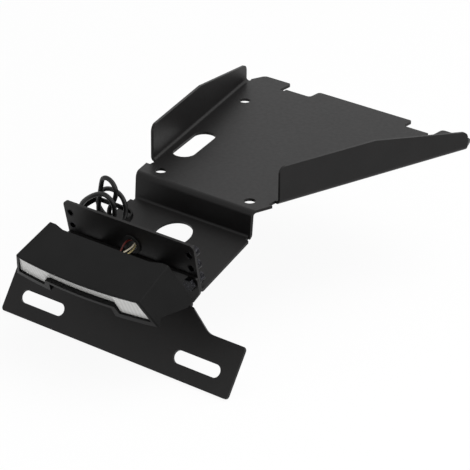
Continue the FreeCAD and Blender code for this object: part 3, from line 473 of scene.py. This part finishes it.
def row_tree():
    """Upright round ribs in a row along X, following a bow."""
    tree, size = new_tree("rib_row", First="Float", Pitch="Float", Count="Int",
                          Radius="Float", Height="Float", Bow="Float")
    line = point_row(tree, size)
    where = add(tree, "GeometryNodeInputPosition")
    x = add(tree, "ShaderNodeSeparateXYZ", {0: where.outputs[0]}).outputs["X"]
    square = add(tree, "ShaderNodeMath", {0: x, 1: x}, operation="MULTIPLY")
    back = add(tree, "ShaderNodeMath", {0: square.outputs[0], 1: size["Bow"]}, operation="MULTIPLY")
    shift = add(tree, "ShaderNodeCombineXYZ", {"Y": back.outputs[0]})
    bowed = add(tree, "GeometryNodeSetPosition", {
        "Geometry": line, "Offset": shift.outputs[0]})
    rib = add(tree, "GeometryNodeMeshCylinder", {
        "Vertices": 12, "Radius": size["Radius"], "Depth": size["Height"]})
    row = add(tree, "GeometryNodeInstanceOnPoints", {
        "Points": bowed.outputs[0], "Instance": rib.outputs["Mesh"]})
    close_tree(tree, row.outputs["Instances"], size["Finish"])
    return tree


def dome_tree():
    """Phosphor domes in a row along X, one over each LED."""
    tree, size = new_tree("dome_row", First="Float", Pitch="Float", Count="Int", Radius="Float")
    line = point_row(tree, size)
    dome = add(tree, "GeometryNodeMeshUVSphere", {
        "Segments": 20, "Rings": 10, "Radius": size["Radius"]})
    row = add(tree, "GeometryNodeInstanceOnPoints", {
        "Points": line, "Instance": dome.outputs["Mesh"]})
    close_tree(tree, row.outputs["Instances"], size["Finish"])
    return tree


def tie_tree():
    """A flat strap along a closed path, with short teeth across both its faces."""
    tree, size = new_tree("toothed_strap", Width="Float", Gauge="Float", Teeth="Int",
                          Tooth="Float")
    source = tree.nodes["Group Input"].outputs["Geometry"]
    section = add(tree, "GeometryNodeCurvePrimitiveQuadrilateral", {
        "Width": size["Gauge"], "Height": size["Width"]})
    strap = add(tree, "GeometryNodeCurveToMesh", {
        "Curve": source, "Profile Curve": section.outputs[0]})
    marks = add(tree, "GeometryNodeResampleCurve", {"Curve": source, "Count": size["Teeth"]})
    half = add(tree, "ShaderNodeMath", {0: size["Width"], 1: 0.6}, operation="MULTIPLY")
    thick = add(tree, "ShaderNodeMath", {0: size["Gauge"], 1: 1.3}, operation="MULTIPLY")
    block = add(tree, "ShaderNodeCombineXYZ", {
        "X": size["Tooth"], "Y": thick.outputs[0], "Z": half.outputs[0]})
    tooth = add(tree, "GeometryNodeMeshCube", {"Size": block.outputs[0]})
    along = add(tree, "GeometryNodeInputTangent")
    turn = add(tree, "FunctionNodeAlignRotationToVector", {"Vector": along.outputs[0]}, axis="X")
    row = add(tree, "GeometryNodeInstanceOnPoints", {
        "Points": marks.outputs[0], "Instance": tooth.outputs["Mesh"],
        "Rotation": turn.outputs[0]})
    both = add(tree, "GeometryNodeJoinGeometry", {0: strap.outputs[0]})
    tree.links.new(row.outputs["Instances"], both.inputs[0])
    close_tree(tree, both.outputs[0], size["Finish"])
    return tree


ribs = row_tree()
# A rib is this much shorter than the lens is tall, in millimetres
RIB_SHORT = 1.0
RIB_ROWS = [
    # side, first rib, ribs, foot, lean
    ("middle", -24.0, 17, LENS_MIDDLE, LENS_LEAN),
    ("left", -48.0, 6, LENS_LOW, LENS_END_LEAN),
    ("right", 33.0, 6, LENS_LOW, LENS_END_LEAN),
]
for side, first, count, foot, angle in RIB_ROWS:
    middle = (LENS_TOP + foot) / 2
    lean = Matrix.Rotation(math.radians(angle), 4, "X")
    centre = Vector((0, LENS_FACE + LENS_GAUGE - middle * math.tan(math.radians(angle)),
                     middle)) * MM
    grown("lens_ribs_" + side, ribs, "clear_lens",
          LIGHT @ Matrix.Translation(centre) @ lean,
          First=first * MM, Pitch=RIB_PITCH * MM, Count=count, Radius=RIB_RADIUS * MM,
          Height=(LENS_TOP - foot - RIB_SHORT) * MM, Bow=BOW / BOW_HALF ** 2 / MM)
# Where the LEDs' row and the plug's grips lie in their frames, in metres
LED_ROW = Vector((0, -22.5, -6.4)) * MM
GRIP_ROW = Vector((0, -39.05, 4.3)) * MM
grown("led_domes", dome_tree(), "led_white", LIGHT @ Matrix.Translation(LED_ROW),
      First=-44 * MM, Pitch=11 * MM, Count=9, Radius=1.05 * MM)
grown("plug_grips", ribs, "black_moulding", LOWER @ Matrix.Translation(GRIP_ROW),
      First=-12 * MM, Pitch=2 * MM, Count=6, Radius=0.45 * MM, Height=5 * MM, Bow=0.0)


def cord_curve(name, points, radius):
    """A round cord led by listed control points, given in millimetres."""
    curve = bpy.data.curves.new(name, "CURVE")
    curve.dimensions = "3D"
    curve.bevel_resolution = 5
    curve.bevel_depth = radius * MM
    curve.use_fill_caps = True
    line = curve.splines.new("NURBS")
    line.points.add(len(points) - 1)
    for spot, point in zip(line.points, points):
        spot.co = (*[value * MM for value in point], 1)
    line.order_u = 3
    line.use_endpoint_u = True
    line.resolution_u = 10
    return linked(name, curve)


# Radii of the cords, in millimetres
WIRE_RADIUS, CABLE_RADIUS = 0.55, 1.6
WIRES = {
    "red": [(1.3, -89.31, -18.48), (1.1, -85.6, -16.2), (0.5, -82.0, -13.0),
            (0.4, -78.5, -11.7), (0.9, -75.0, -12.5), (1.38, -71.3, -13.35)],
    "white": [(2.7, -89.31, -18.48), (3.0, -85.8, -16.9), (3.7, -82.2, -16.3),
              (4.3, -78.8, -15.3), (3.9, -75.3, -14.2), (2.62, -71.24, -13.32)],
    "brown": [(1.3, -88.75, -19.76), (1.4, -85.2, -18.4), (2.2, -81.8, -17.8),
              (2.7, -78.4, -16.6), (2.2, -74.9, -15.7), (1.38, -70.97, -14.53)],
    "yellow": [(2.7, -88.75, -19.76), (3.6, -85.2, -18.7), (4.5, -81.6, -18.3),
               (4.7, -78.2, -17.3), (4.1, -75.2, -16.2), (2.62, -70.97, -14.53)],
}
for shade, points in WIRES.items():
    finished(cord_curve("core_" + shade, points, WIRE_RADIUS), shade + "_wire", "wire_" + shade)

# The black cable leaves the strip, turns left and stands in a loose hank of
# three turns on the lower plate, each of its own size, leaning its own way.
CABLE = [(2, -70.81, -13.86), (2, -61.6, -12.4), (-1, -53.8, -17.6),
         (-10.5, -49.9, -20.3), (-23.8, -49.8, -20.4)]
# The hank's points by side, run down the plate and height over it
HANK = [
    (-31, 37.4, 4.2), (-38.6, 40.4, 1.9), (-46.6, 42.0, 1.9),
    # wide turn at the rear, up on the left
    (-53.0, 42.4, 3.0), (-57.6, 42.4, 7.0), (-59.2, 42.2, 13.6), (-56.2, 42.0, 21.0),
    (-50.4, 42.0, 27.0), (-44.0, 41.8, 31.8), (-37.6, 41.4, 35.4), (-32.2, 41.2, 36.4),
    (-28.0, 41.2, 34.2), (-25.9, 41.3, 29.8), (-26.5, 41.5, 24.0), (-28.6, 41.9, 17.8),
    (-32.0, 42.0, 11.8), (-36.0, 41.4, 7.6), (-40.4, 39.4, 5.2),
    # tall turn across the hank
    (-44.6, 37.0, 4.2), (-48.6, 34.6, 5.0), (-51.4, 33.0, 8.2), (-51.6, 32.2, 12.8),
    (-49.2, 31.9, 20.2), (-46.4, 31.7, 28.0), (-44.4, 31.5, 33.4), (-42.9, 31.5, 37.0),
    (-41.1, 31.7, 40.1), (-38.0, 31.9, 41.9), (-34.4, 32.3, 41.9), (-31.3, 32.8, 40.0),
    (-29.4, 33.4, 36.6), (-29.4, 34.0, 32.4), (-32.0, 34.8, 26.8), (-36.4, 35.4, 20.8),
    (-39.8, 35.0, 14.4), (-42.0, 32.0, 7.2),
    # low turn at the front, leaning right
    (-46.1, 29.4, 3.6), (-50.1, 28.1, 3.3), (-53.6, 27.7, 4.9), (-55.8, 27.6, 8.2),
    (-56.1, 27.6, 12.2), (-54.6, 27.6, 17.6), (-51.0, 27.6, 23.2), (-46.0, 27.6, 27.2),
    (-40.0, 27.8, 29.2), (-34.4, 28.2, 29.0), (-29.9, 28.8, 26.2), (-27.7, 29.8, 21.4),
    (-27.4, 31.4, 16.4), (-26.8, 34.2, 12.9), (-26.0, 38.0, 10.4), (-23.6, 41.4, 6.6),
    (-18.6, 42.5, 4.3), (-15.3, 42.5, 4.3),
]
cable_points = CABLE + [lower_plate(*spot) for spot in HANK]
cable = finished(cord_curve("light_cable_run", cable_points, CABLE_RADIUS),
                 "black_cable", "light_cable", "cable_hank", "connector_lead")


def tie_path():
    """The strap's closed path round the hank, flat in the lower plate's frame."""
    spots = [(-61.8, -38), (-61.8, -44.2), (-56, -44.9), (-33, -44.9), (-25.4, -44.0),
             (-23.6, -38), (-23.6, -31), (-26.4, -26.2), (-35, -25.2), (-52.4, -25.0),
             (-58.8, -25.2), (-60.6, -30)]
    curve = bpy.data.curves.new("tie_path", "CURVE")
    curve.dimensions = "3D"
    line = curve.splines.new("NURBS")
    line.points.add(len(spots) - 1)
    for spot, (x, y) in zip(line.points, spots):
        spot.co = (x * MM, y * MM, 0, 1)
    line.use_cyclic_u = True
    line.order_u = 3
    line.resolution_u = 8
    return curve


# The strap's height over the lower plate, in millimetres
TIE_RISE = 13
tie = grown("cable_tie_strap", tie_tree(), "black_moulding",
            LOWER @ Matrix.Translation((0, 0, TIE_RISE * MM)), "cable_tie",
            base=tie_path(), Width=3.6 * MM, Gauge=1.0 * MM, Teeth=110, Tooth=0.5 * MM)


# Camera: the photograph's place, direction, roll in degrees and lens
CAMERA_PLACE = Vector((0.9617, -1.1660, 0.6790))
CAMERA_AHEAD = Vector((-0.5657, 0.7050, -0.4277))
CAMERA_ROLL = 0.53
CAMERA_LENS = 191.69
camera = linked("camera", bpy.data.cameras.new("camera"))
ahead = CAMERA_AHEAD.normalized()
level = ahead.cross(Vector((0, 0, 1))).normalized()
above = level.cross(ahead)
tip = math.radians(CAMERA_ROLL)
right = level * math.cos(tip) + above * math.sin(tip)
above = above * math.cos(tip) - level * math.sin(tip)
turn = Matrix((right, above, -ahead)).transposed().to_4x4()
camera.matrix_world = Matrix.Translation(CAMERA_PLACE) @ turn
camera.data.lens = CAMERA_LENS
camera.data.sensor_width = 36
camera.data.clip_start = 0.05
camera.data.clip_end = 50
bpy.context.scene.camera = camera

# Floor and light
scene = bpy.context.scene
scene.view_settings.view_transform = "Standard"


def seen_directly(tree):
    """One for camera, glossy and transmission rays, nought for the rest."""
    path = add(tree, "ShaderNodeLightPath")
    first = add(tree, "ShaderNodeMath", {
        0: path.outputs["Is Camera Ray"], 1: path.outputs["Is Glossy Ray"]},
        operation="MAXIMUM")
    both = add(tree, "ShaderNodeMath", {
        0: first.outputs[0], 1: path.outputs["Is Transmission Ray"]},
        operation="MAXIMUM")
    return both.outputs[0]


def studio_floor():
    """White sweep: mostly its own white, so that it keeps only a faint shadow.
    Its white is a little over one, so that the open floor is pure white."""
    material = bpy.data.materials.new("studio_white")
    material.use_nodes = True
    tree = material.node_tree
    tree.nodes.clear()
    matt = add(tree, "ShaderNodeBsdfDiffuse", {"Color": colour("#ffffff")})
    white = add(tree, "ShaderNodeEmission", {"Color": (1, 1, 1, 1), "Strength": 1.02})
    share = add(tree, "ShaderNodeMath", {0: seen_directly(tree), 1: 0.9},
                operation="MULTIPLY")
    mix = add(tree, "ShaderNodeMixShader", {
        0: share.outputs[0], 1: matt.outputs[0], 2: white.outputs[0]})
    add(tree, "ShaderNodeOutputMaterial", {"Surface": mix.outputs[0]})
    return material


# Half the floor's width, and its gap under the object, in metres
reach, gap = 6.0, 0.0005
sweep = bpy.data.meshes.new("floor")
floor_z = cad_low.z - gap
sweep.from_pydata([(-reach, -reach, floor_z), (reach, -reach, floor_z),
                   (reach, reach, floor_z), (-reach, reach, floor_z)], [], [(0, 1, 2, 3)])
floor = linked("floor", sweep)
floor.data.materials.append(studio_floor())

world = bpy.data.worlds.new("studio")
scene.world = world
world.use_nodes = True
tree = world.node_tree
tree.nodes.clear()
soft = add(tree, "ShaderNodeBackground", {"Color": (1, 1, 1, 1), "Strength": 0.35})
clean = add(tree, "ShaderNodeBackground", {"Color": (1, 1, 1, 1), "Strength": 1.0})
mix = add(tree, "ShaderNodeMixShader", {
    0: seen_directly(tree), 1: soft.outputs[0], 2: clean.outputs[0]})
add(tree, "ShaderNodeOutputWorld", {"Surface": mix.outputs[0]})


def soft_box(name, place, aim, size, power):
    """A square studio lamp at a place, turned to a point."""
    lamp = bpy.data.lights.new(name, "AREA")
    lamp.shape = "SQUARE"
    lamp.size = size
    lamp.energy = power
    item = linked(name, lamp)
    item.location = place
    item.rotation_mode = "QUATERNION"
    item.rotation_quaternion = (Vector(aim) - Vector(place)).to_track_quat("-Z", "Y")


soft_box("top_light", (0.7, 0.6, 1.3), (0, 0.05, 0), 1.6, 15.0)
soft_box("side_light", (1.7, -0.2, 0.5), (0, 0, 0), 0.9, 9.0)
soft_box("rear_light", (-0.3, -1.3, 0.15), (0, -0.12, -0.03), 0.6, 2.2)
